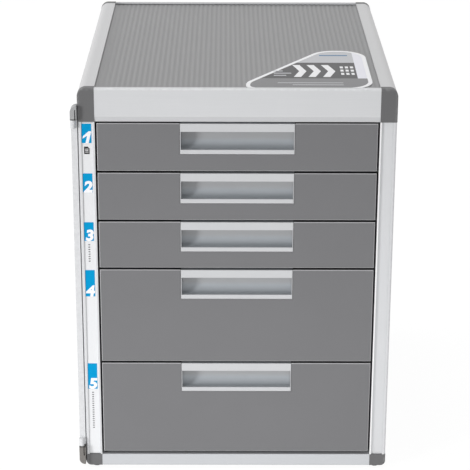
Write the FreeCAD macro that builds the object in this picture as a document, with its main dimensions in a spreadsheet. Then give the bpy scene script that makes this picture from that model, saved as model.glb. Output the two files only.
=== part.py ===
"""Desktop drawer cabinet: an aluminium frame with corner caps, five drawers and a hinged locking bar.

Millimetres. X runs to the viewer's right, Y runs to the back and Z runs up.
The origin lies on the table, under the middle of the frame.
"""
import FreeCAD
import Part
import Sketcher
import operator
import os

# Driving sizes

SIZES = {
    # Frame
    "outer_width": 300.0,
    "outer_depth": 360.0,
    "foot_height": 3.0,
    "foot_radius": 4.5,
    "foot_inset": 10.0,
    "post_width": 16.0,
    "post_depth": 30.0,
    "post_corner_radius": 2.0,
    "top_rail_height": 32.5,
    "bottom_rail_height": 12.5,
    "frame_wall": 1.4,
    "bottom_rail_wall": 2.0,
    "rail_edge_radius": 1.6,
    "bottom_rail_edge_radius": 1.0,
    "rail_inner_edge_radius": 0.5,
    "rail_bevel_height": 5.0,
    "rail_bevel_depth": 0.7,
    "cap_proud": 0.2,
    "cap_depth": 8.0,
    "cap_edge_radius": 1.2,
    "top_corner_radius": 8.0,
    "bottom_corner_radius": 5.0,
    "spigot_length": 12.0,
    "spigot_clearance": 0.2,
    # Panels held in the frame
    "panel_lip": 1.6,
    "lip_reach": 5.0,
    "panel_grip": 3.0,
    "panel_play": 0.3,
    "panel_slack": 0.2,
    "panel_headroom": 0.6,
    "panel_inset": 1.0,
    "top_panel_thickness": 3.0,
    "side_panel_thickness": 2.4,
    "back_panel_thickness": 1.2,
    "bottom_panel_thickness": 1.2,
    "bottom_panel_seat": 4.0,
    "rib_pitch": 5.0,
    "groove_width": 4.4,
    "groove_floor": 0.8,
    "groove_depth": 0.5,
    "plain_margin": 1.5,
    # Channel of the front posts and the index strip in it
    "channel_start": 3.2,
    "channel_width": 11.0,
    "channel_lip": 0.9,
    "channel_undercut": 0.5,
    "strip_thickness": 0.6,
    "strip_slack": 0.2,
    "strip_end_gap": 1.0,
    # Drawer fronts
    "front_recess": 0.8,
    "front_thickness": 16.0,
    "front_skin": 1.6,
    "front_edge_radius": 0.8,
    "side_gap": 1.8,
    "top_gap": 1.6,
    "front_gap": 2.1,
    "bottom_gap": 3.0,
    "small_front_height": 47.0,
    "large_front_height": 96.5,
    # Pulls
    "pull_width": 108.0,
    "pull_height": 30.0,
    "pull_depth": 15.0,
    "pull_wall": 1.2,
    "pull_side_wall": 0.6,
    "strip_height": 7.9,
    "strip_depth": 2.0,
    "lip_height": 4.3,
    "cove_radius": 9.0,
    "pull_gap": 0.3,
    "pull_drop": 0.3,
    "pull_edge_radius": 0.4,
    # Trays and the guides they run in
    "tray_wall": 1.6,
    "tray_floor": 1.8,
    "tray_side_gap": 2.0,
    "tray_rear_room": 7.5,
    "tray_drop": 6.0,
    "tray_rise": 2.5,
    "rim_thickness": 2.0,
    "rim_gap": 0.5,
    "run_clearance": 0.3,
    "drawer_travel": 250.0,
    "guide_web": 2.0,
    "guide_rib": 2.0,
    "rib_reach": 5.0,
    "guide_set_back": 0.7,
    "guide_end_gap": 0.5,
    "stop_length": 3.0,
    "stop_tongue_reach": 4.5,
    "lug_height": 2.5,
    # Screws
    "screw_radius": 1.5,
    "screw_head_radius": 2.8,
    "screw_head_height": 1.8,
    "screw_bite": 8.0,
    "bracket_screw_bite": 5.2,
    "screw_play": 0.1,
    "boss_radius": 4.5,
    "boss_offset": 95.0,
    "guide_screw_inset": 6.5,
    "guide_screw_drop": 16.0,
    "bracket_screw_pitch": 6.2,
    # Locking bar folded back along the left side
    "hinge_out": 4.0,
    "hinge_forward": 2.4,
    "bar_thickness": 5.7,
    "bar_width": 27.3,
    "bar_wall": 1.2,
    "bar_outer_cover": 2.0,
    "bar_set_back": 2.6,
    "bar_bottom_rise": 11.0,
    "bar_top_rise": 2.5,
    "bar_cap_height": 8.0,
    "bar_spigot_length": 10.0,
    "knuckle_radius": 2.4,
    "pin_radius": 1.25,
    "pin_play": 0.05,
    "pin_grip": 9.0,
    "pin_reach": 6.5,
    "pin_end_gap": 0.5,
    "bracket_top_drop": 16.5,
    "bracket_bottom_rise": 3.5,
    "bracket_gap": 0.3,
    "bracket_length": 25.8,
    "bracket_knuckle_length": 15.0,
    "bracket_dome_radius": 5.6,
    "bracket_back_radius": 5.0,
    "bracket_pad_start": 13.3,
    "bracket_pad_height": 7.0,
    "bracket_head_depth": 2.8,
    "bracket_slot_width": 1.1,
    "bracket_slot_height": 10.0,
    "bracket_slot_depth": 4.0,
    "bracket_slot_inset": 0.9,
    # Label on the top
    "label_thickness": 0.5,
    "label_from_right": 22.0,
    "label_width": 120.0,
    "label_length": 142.0,
    "label_from_front": 7.0,
    "label_small_radius": 11.0,
    "label_large_radius": 26.0,
    # Overrun of cuts
    "overrun": 1.0,
}

doc = FreeCAD.newDocument("drawer_cabinet")
sheet = doc.addObject("Spreadsheet::Sheet", "sizes")


class Size:
    """A length: its number, and the expression over the sheet's cells that gives it."""

    def __init__(self, number, text):
        self.number = number
        self.text = text

    def __add__(self, other):
        return combined(self, "+", other)

    def __radd__(self, other):
        return combined(other, "+", self)

    def __sub__(self, other):
        return combined(self, "-", other)

    def __rsub__(self, other):
        return combined(other, "-", self)

    def __mul__(self, other):
        return combined(self, "*", other)

    def __rmul__(self, other):
        return combined(other, "*", self)

    def __truediv__(self, other):
        return combined(self, "/", other)

    def __neg__(self):
        return combined(-1, "*", self)


WORKINGS = {"+": operator.add, "-": operator.sub, "*": operator.mul, "/": operator.truediv}


def as_size(value):
    return value if isinstance(value, Size) else Size(float(value), "(%g)" % value)


def combined(left, sign, right):
    left = as_size(left)
    right = as_size(right)
    number = WORKINGS[sign](left.number, right.number)
    return Size(number, "(%s %s %s)" % (left.text, sign, right.text))


class Sizes:
    """The sheet's cells by name."""

    def __init__(self, table):
        for row, (name, number) in enumerate(table.items(), 1):
            sheet.set("A%d" % row, name)
            sheet.set("B%d" % row, str(number))
            sheet.setAlias("B%d" % row, name)
            setattr(self, name, Size(number, "sizes." + name))


s = Sizes(SIZES)
doc.recompute()

# Sizes that follow from the driving ones

SMALL_DRAWERS = 3
LARGE_DRAWERS = 2
CLOSE_SHARE = 1e-6

ZERO = as_size(0)
close = s.outer_width.number * CLOSE_SHARE
half_width = s.outer_width / 2
half_depth = s.outer_depth / 2
rail_face_x = half_width - s.cap_proud
rail_face_y = half_depth - s.cap_proud
rail_depth = s.post_width - s.cap_proud
post_depth = s.post_depth - s.cap_proud
opening_half = half_width - s.post_width
opening_bottom = s.foot_height + s.bottom_rail_height
front_heights = [s.small_front_height] * SMALL_DRAWERS + [s.large_front_height] * LARGE_DRAWERS
opening_height = s.top_gap + s.bottom_gap + s.front_gap * (len(front_heights) - 1)
for front_height in front_heights:
    opening_height = opening_height + front_height
opening_top = opening_bottom + opening_height
cabinet_top = opening_top + s.top_rail_height
rail_top = cabinet_top - s.cap_proud
rail_bottom = s.foot_height + s.cap_proud
top_slot = s.top_panel_thickness + s.panel_headroom
slot_depth = s.panel_grip + s.panel_play
panel_seat = rail_top - s.panel_lip - top_slot
panel_face = panel_seat + s.top_panel_thickness
front_face = -half_depth + s.cap_proud + s.front_recess
front_back = front_face + s.front_thickness
front_half = opening_half - s.side_gap
back_outer = rail_face_y - s.panel_inset - s.panel_slack / 2
back_inner = back_outer - s.back_panel_thickness
tray_rear = back_inner - s.tray_rear_room
guide_front = front_back + s.guide_set_back
guide_rear = tray_rear + s.run_clearance + s.stop_length
web_inner = opening_half - s.guide_web
rib_inner = web_inner - s.rib_reach
rim_half = web_inner - s.rim_gap
tray_half = rib_inner - s.tray_side_gap
hinge_x = -half_width - s.hinge_out
hinge_y = -half_depth - s.hinge_forward
bar_bottom = opening_bottom + s.bar_bottom_rise
bar_top = opening_top + s.bar_top_rise

# Tops of the fronts, from the uppermost drawer down
front_tops = []
level = opening_top - s.top_gap
for front_height in front_heights:
    front_tops.append(level)
    level = level - front_height - s.front_gap

PIECES = []

# Building blocks


def new_body(label):
    body = doc.addObject("PartDesign::Body", label)
    body.Label = label
    PIECES.append(body)
    return body


def held(sketch, kind, geometry, point, size):
    """Hold one coordinate of a point, or a radius, to its size."""
    if point is None:
        index = sketch.addConstraint(Sketcher.Constraint(kind, geometry, size.number))
    else:
        index = sketch.addConstraint(Sketcher.Constraint(kind, geometry, point, size.number))
    sketch.setExpression("Constraints[%d]" % index, size.text)


def draw_polygon(sketch, corners):
    first = sketch.GeometryCount
    points = [FreeCAD.Vector(across.number, up.number, 0) for across, up in corners]
    for start, end in zip(points, points[1:] + points[:1]):
        sketch.addGeometry(Part.LineSegment(start, end))
    last = sketch.GeometryCount - 1
    for index in range(first, last + 1):
        following = index + 1 if index < last else first
        sketch.addConstraint(Sketcher.Constraint("Coincident", index, 2, following, 1))
    for index, (across, up) in enumerate(corners, first):
        held(sketch, "DistanceX", index, 1, across)
        held(sketch, "DistanceY", index, 1, up)


def draw_circle(sketch, across, up, radius):
    centre = FreeCAD.Vector(across.number, up.number, 0)
    index = sketch.addGeometry(Part.Circle(centre, FreeCAD.Vector(0, 0, 1), radius.number))
    held(sketch, "DistanceX", index, 3, across)
    held(sketch, "DistanceY", index, 3, up)
    held(sketch, "Radius", index, None, radius)


def sketched(body, role, height, outlines):
    """Draw outlines on one of the body's planes, moved to a height along that plane's normal."""
    sketch = body.newObject("Sketcher::SketchObject", body.Label + "_sketch")
    for item in body.Origin.OriginFeatures:
        if item.Role == role + "_Plane":
            sketch.AttachmentSupport = [(item, "")]
    sketch.MapMode = "FlatFace"
    sketch.setExpression("AttachmentOffset.Base.z", height.text)
    for shape in outlines:
        if len(shape) == 3 and isinstance(shape[0], Size):
            draw_circle(sketch, *shape)
        else:
            draw_polygon(sketch, shape)
    sketch.Visibility = False
    return sketch


def heights(role, low, high):
    """The XZ plane's normal points forward, so its heights run the other way."""
    return (-high, -low) if role == "XZ" else (low, high)


def padded(body, role, outlines, low, high):
    """Fill outlines between two places along X (role YZ), Y (role XZ) or Z (role XY)."""
    near, far = heights(role, low, high)
    pad = body.newObject("PartDesign::Pad", body.Label + "_pad")
    pad.Profile = sketched(body, role, near, outlines)
    pad.setExpression("Length", (far - near).text)
    return pad


def pocketed(body, role, outlines, low, high):
    """Cut outlines out between two places along X (role YZ), Y (role XZ) or Z (role XY)."""
    near, far = heights(role, low, high)
    pocket = body.newObject("PartDesign::Pocket", body.Label + "_pocket")
    pocket.Profile = sketched(body, role, far, outlines)
    pocket.setExpression("Length", (far - near).text)
    return pocket


def lies_at(point, place):
    return all(abs(getattr(point, axis) - size.number) < close for axis, size in place.items())


def rounded(body, feature, radius, places, spared=()):
    """Round the edges whose two ends lie at one of the places, but none of those spared."""
    doc.recompute()
    names = []
    for number, edge in enumerate(feature.Shape.Edges, 1):
        ends = [vertex.Point for vertex in edge.Vertexes]
        chosen = any(all(lies_at(end, place) for end in ends) for place in places)
        if len(ends) == 2 and chosen and not any(lies_at(edge.CenterOfMass, place) for place in spared):
            names.append("Edge%d" % number)
    fillet = body.newObject("PartDesign::Fillet", body.Label + "_fillet")
    fillet.Base = (feature, names)
    fillet.setExpression("Radius", radius.text)
    return fillet


def rectangle(low_across, high_across, low_up, high_up):
    return [
        (low_across, low_up),
        (high_across, low_up),
        (high_across, high_up),
        (low_across, high_up),
    ]


def span(side, near, far):
    """Two distances from the middle, as low and high on the left (-1) or the right (1)."""
    return (near, far) if side > 0 else (-far, -near)


def mirrored(side, distance):
    return distance if side > 0 else -distance


def cylinder(label, radius, low, high, axis, across, up):
    """A round bar along one axis; across and up place it on the other two."""
    rod = doc.addObject("Part::Cylinder", label)
    rod.setExpression("Radius", radius.text)
    rod.setExpression("Height", (high - low).text)
    if axis == "X":
        rod.Placement = FreeCAD.Placement(FreeCAD.Vector(), FreeCAD.Rotation(FreeCAD.Vector(0, 1, 0), 90))
        base = (low, across, up)
    elif axis == "Y":
        rod.Placement = FreeCAD.Placement(FreeCAD.Vector(), FreeCAD.Rotation(FreeCAD.Vector(1, 0, 0), -90))
        base = (across, low, up)
    else:
        base = (across, up, low)
    for name, size in zip("xyz", base):
        rod.setExpression("Placement.Base." + name, size.text)
    return rod


def grouped(label, members):
    group = doc.addObject("Part::Compound", label)
    group.Label = label
    group.Links = members
    PIECES.append(group)
    return group


def fused(label, members):
    whole = doc.addObject("Part::MultiFuse", label)
    whole.Label = label
    whole.Shapes = members
    return whole


def screw(label, axis, seat, reach, direction, across, up):
    """A screw with its head standing on the seat and its shank reaching in the direction, 1 or -1."""
    tip = seat + direction * reach
    crown = seat - direction * s.screw_head_height
    low, high = (seat, tip) if direction > 0 else (tip, seat)
    head_low, head_high = (crown, seat) if direction > 0 else (seat, crown)
    shank = cylinder(label + "_shank", s.screw_radius, low, high, axis, across, up)
    head = cylinder(label + "_head", s.screw_head_radius, head_low, head_high, axis, across, up)
    return fused(label, [shank, head])


screw_hole = s.screw_radius + s.screw_play

# Frame posts


def front_post(label, side):
    """A box extrusion with an open channel in its face and a slot for the side panel in its back."""
    channel_end = s.channel_start + s.channel_width
    lip = s.channel_lip
    floor = lip + s.strip_thickness + s.strip_slack
    undercut_start = s.channel_start - s.channel_undercut
    undercut_end = channel_end + s.channel_undercut
    slot_end = s.panel_inset + s.side_panel_thickness + s.panel_slack
    slot_floor = post_depth - slot_depth
    section = [
        (ZERO, ZERO),
        (s.channel_start, ZERO),
        (s.channel_start, lip),
        (undercut_start, lip),
        (undercut_start, floor),
        (undercut_end, floor),
        (undercut_end, lip),
        (channel_end, lip),
        (channel_end, ZERO),
        (rail_depth, ZERO),
        (rail_depth, post_depth),
        (slot_end, post_depth),
        (slot_end, slot_floor),
        (s.panel_inset, slot_floor),
        (s.panel_inset, post_depth),
        (ZERO, post_depth),
    ]
    wall = s.frame_wall
    hollow = rectangle(wall, rail_depth - wall, floor + wall, slot_floor - wall)
    return post(label, side, -1, section, hollow)


def rear_post(label, side):
    """A box extrusion with slots for the side panel and the back panel."""
    side_slot_end = s.panel_inset + s.side_panel_thickness + s.panel_slack
    side_floor = post_depth - slot_depth
    back_slot_end = s.panel_inset + s.back_panel_thickness + s.panel_slack
    back_floor = rail_depth - slot_depth
    section = [
        (ZERO, ZERO),
        (rail_depth, ZERO),
        (rail_depth, s.panel_inset),
        (back_floor, s.panel_inset),
        (back_floor, back_slot_end),
        (rail_depth, back_slot_end),
        (rail_depth, post_depth),
        (side_slot_end, post_depth),
        (side_slot_end, side_floor),
        (s.panel_inset, side_floor),
        (s.panel_inset, post_depth),
        (ZERO, post_depth),
    ]
    hollow = rectangle(s.frame_wall, back_floor - s.frame_wall, s.frame_wall * 2, side_floor - s.frame_wall)
    return post(label, side, 1, section, hollow)


def post(label, side, end, section, hollow):
    """Turn a section, measured inwards from the outer faces, into a post at one corner."""
    body = new_body(label)
    outlines = []
    for shape in (section, hollow):
        corners = []
        for across, inward in shape:
            corners.append((mirrored(side, rail_face_x - across), mirrored(end, rail_face_y - inward)))
        outlines.append(corners)
    pad = padded(body, "XY", outlines, opening_bottom, opening_top)
    corner = {"x": mirrored(side, rail_face_x), "y": mirrored(end, rail_face_y)}
    rounded(body, pad, s.post_corner_radius, [corner])
    return body


left_post = front_post("front_post_left", -1)
front_post("front_post_right", 1)
rear_post("rear_post_left", -1)
rear_post("rear_post_right", 1)

# Frame rails


def rail_section(top, lip_reach, slot_for):
    """A rail's section and hollow, from its outer face inwards. slot_for is the thickness of its sheet."""
    slot_end = s.panel_inset + slot_for + s.panel_slack if slot_for else None
    if top:
        grip = lip_reach - s.panel_grip
        under_lip = rail_top - s.panel_lip
        section = [
            (ZERO, rail_top),
            (lip_reach, rail_top),
            (lip_reach, under_lip),
            (grip, under_lip),
            (grip, panel_seat),
            (rail_depth, panel_seat),
            (rail_depth, opening_top),
        ]
        mouth = opening_top
        slot_floor = opening_top + slot_depth
        low = slot_floor + s.frame_wall if slot_for else opening_top + s.frame_wall
        wall = s.frame_wall
        high = panel_seat - s.frame_wall
    else:
        ledge = rail_depth - s.bottom_panel_seat
        shelf = opening_bottom - s.bottom_panel_thickness - s.panel_slack
        section = [
            (ZERO, rail_bottom),
            (rail_depth, rail_bottom),
            (rail_depth, shelf),
            (ledge, shelf),
            (ledge, opening_bottom),
        ]
        mouth = opening_bottom
        slot_floor = opening_bottom - slot_depth
        low = rail_bottom + s.bottom_rail_wall
        wall = s.bottom_rail_wall
        high = slot_floor - s.frame_wall
    if slot_for:
        section += [
            (slot_end, mouth),
            (slot_end, slot_floor),
            (s.panel_inset, slot_floor),
            (s.panel_inset, mouth),
        ]
    if top and not slot_for:
        section += [(s.rail_bevel_depth, mouth), (ZERO, mouth + s.rail_bevel_height)]
    else:
        section.append((ZERO, mouth))
    return section, rectangle(wall, rail_depth - wall, low, high)


def cross_rail(label, end, top):
    """A rail along X, at the front (-1) or the back (1)."""
    slot_for = None if end < 0 else s.back_panel_thickness
    body = new_body(label)
    outlines = []
    for shape in rail_section(top, s.lip_reach, slot_for):
        outlines.append([(mirrored(end, rail_face_y - inward), up) for inward, up in shape])
    rail = padded(body, "YZ", outlines, -opening_half, opening_half)
    inner_face = rail_face_y - s.rail_bevel_depth if top and not slot_for else rail_face_y
    outer_edge = {"y": mirrored(end, rail_face_y), "z": rail_top if top else rail_bottom}
    inner_edge = {"y": mirrored(end, inner_face), "z": opening_top if top else opening_bottom}
    rail = rounded(body, rail, s.rail_edge_radius if top else s.bottom_rail_edge_radius, [outer_edge])
    rounded(body, rail, s.rail_inner_edge_radius, [inner_edge])
    return body


def side_rail(label, side, top):
    """A rail along Y, on the left (-1) or the right (1), between the corner caps."""
    body = new_body(label)
    outlines = []
    for shape in rail_section(top, rail_depth, s.side_panel_thickness):
        outlines.append([(mirrored(side, rail_face_x - inward), up) for inward, up in shape])
    length = half_depth - s.cap_depth
    pad = padded(body, "XZ", outlines, -length, length)
    edge = {"x": mirrored(side, rail_face_x), "z": rail_top if top else rail_bottom}
    radius = (s.top_corner_radius if top else s.bottom_corner_radius) - s.cap_proud
    rounded(body, pad, radius, [edge])
    return body


cross_rail("top_rail_front", -1, True)
cross_rail("top_rail_rear", 1, True)
cross_rail("bottom_rail_front", -1, False)
cross_rail("bottom_rail_rear", 1, False)
top_left_rail = side_rail("top_rail_left", -1, True)
side_rail("top_rail_right", 1, True)
side_rail("bottom_rail_left", -1, False)
side_rail("bottom_rail_right", 1, False)

# Corner caps


def corner_cap(label, side, end, top):
    """A moulded corner with a spigot for the post, for the side rail and for the cross rail."""
    body = new_body(label)
    low, high = (opening_top, cabinet_top) if top else (s.foot_height, opening_bottom)
    x_low, x_high = span(side, opening_half, half_width)
    y_low, y_high = span(end, half_depth - s.cap_depth, half_depth)
    block = padded(body, "XY", [rectangle(x_low, x_high, y_low, y_high)], low, high)
    outer = {"x": mirrored(side, half_width), "z": high if top else low}
    radius = s.top_corner_radius if top else s.bottom_corner_radius
    block = rounded(body, block, radius, [outer])
    # the end face's outline, large corner and all, but not where it meets the rail and the post
    inner = [{"x": mirrored(side, opening_half)}, {"z": low if top else high}]
    rounded(body, block, s.cap_edge_radius, [{"y": mirrored(end, half_depth)}], inner)
    play = s.spigot_clearance
    inner_y = half_depth - s.cap_depth
    wall = s.frame_wall if top else s.bottom_rail_wall
    floor = s.channel_lip + s.strip_thickness + s.strip_slack
    if top:
        rail_low = opening_top + slot_depth + s.frame_wall + play
        rail_high = panel_seat - s.frame_wall - play
    else:
        rail_low = rail_bottom + wall + play
        rail_high = opening_bottom - slot_depth - s.frame_wall - play
    # into the side rail
    across = span(side, opening_half + wall + play, rail_face_x - wall - play)
    along = span(end, inner_y - s.spigot_length, inner_y)
    padded(body, "XY", [rectangle(*across, *along)], rail_low, rail_high)
    # into the cross rail
    across = span(side, opening_half - s.spigot_length, opening_half)
    along = span(end, inner_y, rail_face_y - wall - play)
    padded(body, "XY", [rectangle(*across, *along)], rail_low, rail_high)
    # into the post
    back_room = slot_depth if end > 0 else ZERO
    across = span(side, opening_half + back_room + s.frame_wall + play, rail_face_x - s.frame_wall - play)
    face_room = s.frame_wall * 2 if end > 0 else floor + s.frame_wall
    along = span(end, inner_y, rail_face_y - face_room - play)
    if top:
        padded(body, "XY", [rectangle(*across, *along)], opening_top - s.spigot_length, opening_top)
    else:
        padded(body, "XY", [rectangle(*across, *along)], opening_bottom, opening_bottom + s.spigot_length)
    return body


for level_name, is_top in (("top", True), ("bottom", False)):
    for end_name, end_sign in (("front", -1), ("rear", 1)):
        for side_name, side_sign in (("left", -1), ("right", 1)):
            corner_cap("cap_%s_%s_%s" % (level_name, end_name, side_name), side_sign, end_sign, is_top)

# Panels


def grooved(body, role, face, start, pitch_axis, run, low, high, outward):
    """Cut one shallow groove at start and repeat it over the run."""
    half_mouth = s.groove_width / 2
    half_floor = s.groove_floor / 2
    mouth = face
    floor = face - outward * s.groove_depth
    if role == "XZ":
        shape = [
            (start - half_mouth, mouth),
            (start - half_floor, floor),
            (start + half_floor, floor),
            (start + half_mouth, mouth),
        ]
    else:
        shape = [
            (mouth, start - half_mouth),
            (floor, start - half_floor),
            (floor, start + half_floor),
            (mouth, start + half_mouth),
        ]
    pocket = pocketed(body, role, [shape], low, high)
    doc.recompute()
    pattern = body.newObject("PartDesign::LinearPattern", body.Label + "_grooves")
    pattern.Originals = [pocket]
    pattern.Direction = (pocket.Profile[0], [pitch_axis])
    count = int(run.number // s.rib_pitch.number) + 1
    pattern.Occurrences = count
    pattern.setExpression("Length", (s.rib_pitch * (count - 1)).text)
    body.Tip = pattern
    return pattern


def first_groove(width):
    """Where the first groove lies, so that the grooves sit evenly about the middle."""
    run = width - s.plain_margin * 2 - s.groove_width
    steps = int(run.number // s.rib_pitch.number)
    return run, -(s.rib_pitch * steps) / 2


def clear_of_caps(reach, low, high, cap_low, cap_high):
    """A sheet's outline with its four corners cut away where the corner caps stand."""
    return [
        (-between_caps_x, low),
        (between_caps_x, low),
        (between_caps_x, cap_low),
        (reach, cap_low),
        (reach, cap_high),
        (between_caps_x, cap_high),
        (between_caps_x, high),
        (-between_caps_x, high),
        (-between_caps_x, cap_high),
        (-reach, cap_high),
        (-reach, cap_low),
        (-between_caps_x, cap_low),
    ]


between_caps_x = opening_half - s.panel_play
between_caps_y = half_depth - s.cap_depth - s.panel_play
panel_half = opening_half + s.panel_grip - s.panel_play
panel_end = rail_face_y - s.lip_reach + s.panel_grip - s.panel_play
top_panel = new_body("top_panel")
top_outline = clear_of_caps(panel_half, -panel_end, panel_end, -between_caps_y, between_caps_y)
padded(top_panel, "XY", [top_outline], panel_seat, panel_face)
groove_run, groove_start = first_groove(opening_half * 2)
grooved(top_panel, "XZ", panel_face, groove_start, "H_Axis", groove_run, -panel_end, panel_end, 1)


def side_panel(label, side):
    """A sheet in the slots of the posts and side rails, with upright grooves outside."""
    body = new_body(label)
    reach = half_depth - s.post_depth + s.panel_grip
    outer = rail_face_x - s.panel_inset - s.panel_slack / 2
    inner = outer - s.side_panel_thickness
    low = opening_bottom - s.panel_grip
    high = opening_top + s.panel_grip
    across = span(side, inner, outer)
    padded(body, "XY", [rectangle(*across, -reach, reach)], low, high)
    run, start = first_groove((half_depth - s.post_depth) * 2)
    face = mirrored(side, outer)
    grooved(body, "XY", face, start, "V_Axis", run, low, high, side)
    return body


side_panel("side_panel_left", -1)
side_panel("side_panel_right", 1)

back_panel = new_body("back_panel")
back_outline = clear_of_caps(
    opening_half + s.panel_grip,
    opening_bottom - s.panel_grip,
    opening_top + s.panel_grip,
    opening_bottom + s.panel_play,
    opening_top - s.panel_play,
)
padded(back_panel, "XZ", [back_outline], back_inner, back_outer)

bottom_panel = new_body("bottom_panel")
floor_x = opening_half + s.bottom_panel_seat - s.panel_slack
floor_y = rail_face_y - rail_depth + s.bottom_panel_seat - s.panel_slack
floor_seat = opening_bottom - s.bottom_panel_thickness - s.panel_slack
padded(
    bottom_panel,
    "XY",
    [rectangle(-floor_x, floor_x, -floor_y, floor_y)],
    floor_seat,
    floor_seat + s.bottom_panel_thickness,
)

# Feet

foot_x = half_width - s.foot_inset
foot_y = half_depth - s.foot_inset
feet = []
for side_sign in (-1, 1):
    for end_sign in (-1, 1):
        place = (side_sign * foot_x, end_sign * foot_y)
        feet.append(cylinder("foot", s.foot_radius, ZERO, s.foot_height, "Z", *place))
grouped("feet", feet)

# Index strip in the left post and label on the top

strip_low = -rail_face_x + s.channel_start - s.channel_undercut
strip_high = -rail_face_x + s.channel_start + s.channel_width + s.channel_undercut
strip_front = -rail_face_y + s.channel_lip
index_strip = new_body("index_strip")
padded(
    index_strip,
    "XY",
    [
        rectangle(
            strip_low + s.strip_slack,
            strip_high - s.strip_slack,
            strip_front + s.strip_slack / 2,
            strip_front + s.strip_slack / 2 + s.strip_thickness,
        )
    ],
    opening_bottom + s.strip_end_gap,
    opening_top - s.strip_end_gap,
)

LABEL_TOP_SHARE = 0.63
top_label = new_body("top_label")
label_right = half_width - s.label_from_right
label_left = label_right - s.label_width
label_front = -half_depth + s.label_from_front
label_back = label_front + s.label_length
label_corner = label_left + s.label_width * LABEL_TOP_SHARE
label_pad = padded(
    top_label,
    "XY",
    [
        [
            (label_left, label_front),
            (label_right, label_front),
            (label_right, label_back),
            (label_corner, label_back),
            (label_left, label_front + s.label_small_radius * 2),
        ]
    ],
    panel_face,
    panel_face + s.label_thickness,
)
small_corners = rounded(
    top_label,
    label_pad,
    s.label_small_radius,
    [{"x": label_left, "y": label_front}],
)
rounded(
    top_label,
    small_corners,
    s.label_large_radius,
    [
        {"x": label_right, "y": label_front},
        {"x": label_right, "y": label_back},
        {"x": label_corner, "y": label_back},
        {"x": label_left, "y": label_front + s.label_small_radius * 2},
    ],
)

# Guides that carry the trays


def guide(label, side):
    """A web against the posts, with two ribs for each tray's rim and stops at both ends."""
    body = new_body(label)
    low = opening_bottom + s.guide_end_gap
    high = opening_top - s.guide_end_gap
    comb = [(opening_half, low), (web_inner, low)]
    tongues = []
    rear_stops = []
    for top in reversed(front_tops):
        rim_top = top - s.tray_drop
        rim_low = rim_top - s.rim_thickness
        under = rim_low - s.run_clearance
        over = rim_top + s.run_clearance
        for rib_low, rib_high in ((under - s.guide_rib, under), (over, over + s.guide_rib)):
            comb += [
                (web_inner, rib_low),
                (rib_inner, rib_low),
                (rib_inner, rib_high),
                (web_inner, rib_high),
            ]
        tongue_inner = rib_inner - s.stop_tongue_reach
        tongues.append(rectangle(*span(side, tongue_inner, rib_inner), over, over + s.guide_rib))
        rear_stops.append(rectangle(*span(side, rib_inner, web_inner), under, over))
    comb += [(web_inner, high), (opening_half, high)]
    comb = [(mirrored(side, across), up) for across, up in comb]
    padded(body, "XZ", [comb], guide_front, guide_rear)
    padded(body, "XZ", tongues, guide_front, guide_front + s.stop_length)
    padded(body, "XZ", rear_stops, guide_rear - s.stop_length, guide_rear)
    holes = [(y, z, screw_hole) for y, z in guide_screws()]
    pocketed(body, "YZ", holes, *span(side, web_inner - s.overrun, opening_half + s.overrun))
    return body


def guide_screws():
    """Screw places (Y, Z) of one guide: two in the front post and two in the rear post."""
    front_y = -half_depth + s.post_depth - s.guide_screw_inset
    rear_y = half_depth - s.post_depth + s.guide_screw_inset
    places = []
    for top in (front_tops[1], front_tops[-1]):
        for y in (front_y, rear_y):
            places.append((y, top - s.guide_screw_drop))
    return places


guide("drawer_guide_left", -1)
guide("drawer_guide_right", 1)
guide_screw_group = []
for side_sign in (-1, 1):
    for y, z in guide_screws():
        seat = mirrored(side_sign, web_inner)
        guide_screw_group.append(screw("guide_screw", "X", seat, s.screw_bite, side_sign, y, z))
grouped("guide_screws", guide_screw_group)

# Holes of the guide screws in the posts' inner walls
for piece in list(PIECES):
    if piece.Label in ("front_post_left", "front_post_right", "rear_post_left", "rear_post_right"):
        side_sign = -1 if piece.Label.endswith("left") else 1
        in_front = piece.Label.startswith("front")
        places = [(y, z, screw_hole) for y, z in guide_screws() if (y.number < 0) == in_front]
        reach = span(side_sign, opening_half - s.overrun, opening_half + s.screw_bite)
        pocketed(piece, "YZ", places, *reach)

# Drawers


def drawer_front(label, top, height):
    """A shallow pan, open at the back, with a notch for the pull and two screw bosses."""
    body = new_body(label)
    low = top - height
    outline = rectangle(-front_half, front_half, low, top)
    block = padded(body, "XZ", [outline], front_face, front_back)
    edges = [
        {"x": -front_half, "y": front_face},
        {"x": front_half, "y": front_face},
        {"z": low, "y": front_face},
        {"z": top, "y": front_face},
    ]
    rounded(body, block, s.front_edge_radius, edges)
    wall = s.front_skin
    inside = rectangle(-front_half + wall, front_half - wall, low + wall, top - wall)
    pocketed(body, "XZ", [inside], front_face + wall, front_back)
    notch_half = s.pull_width / 2 + s.pull_gap
    notch_low = top - s.pull_drop - s.pull_height - s.pull_gap
    notch = rectangle(-notch_half, notch_half, notch_low, top + s.overrun)
    pocketed(body, "XZ", [notch], front_face - s.overrun, front_back + s.overrun)
    bosses = [(side * s.boss_offset, low + height / 2, s.boss_radius) for side in (-1, 1)]
    padded(body, "XZ", bosses, front_face + wall / 2, front_back)
    bores = [(side * s.boss_offset, low + height / 2, screw_hole) for side in (-1, 1)]
    pocketed(body, "XZ", bores, front_back - s.screw_bite, front_back + s.overrun)
    return body


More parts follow.
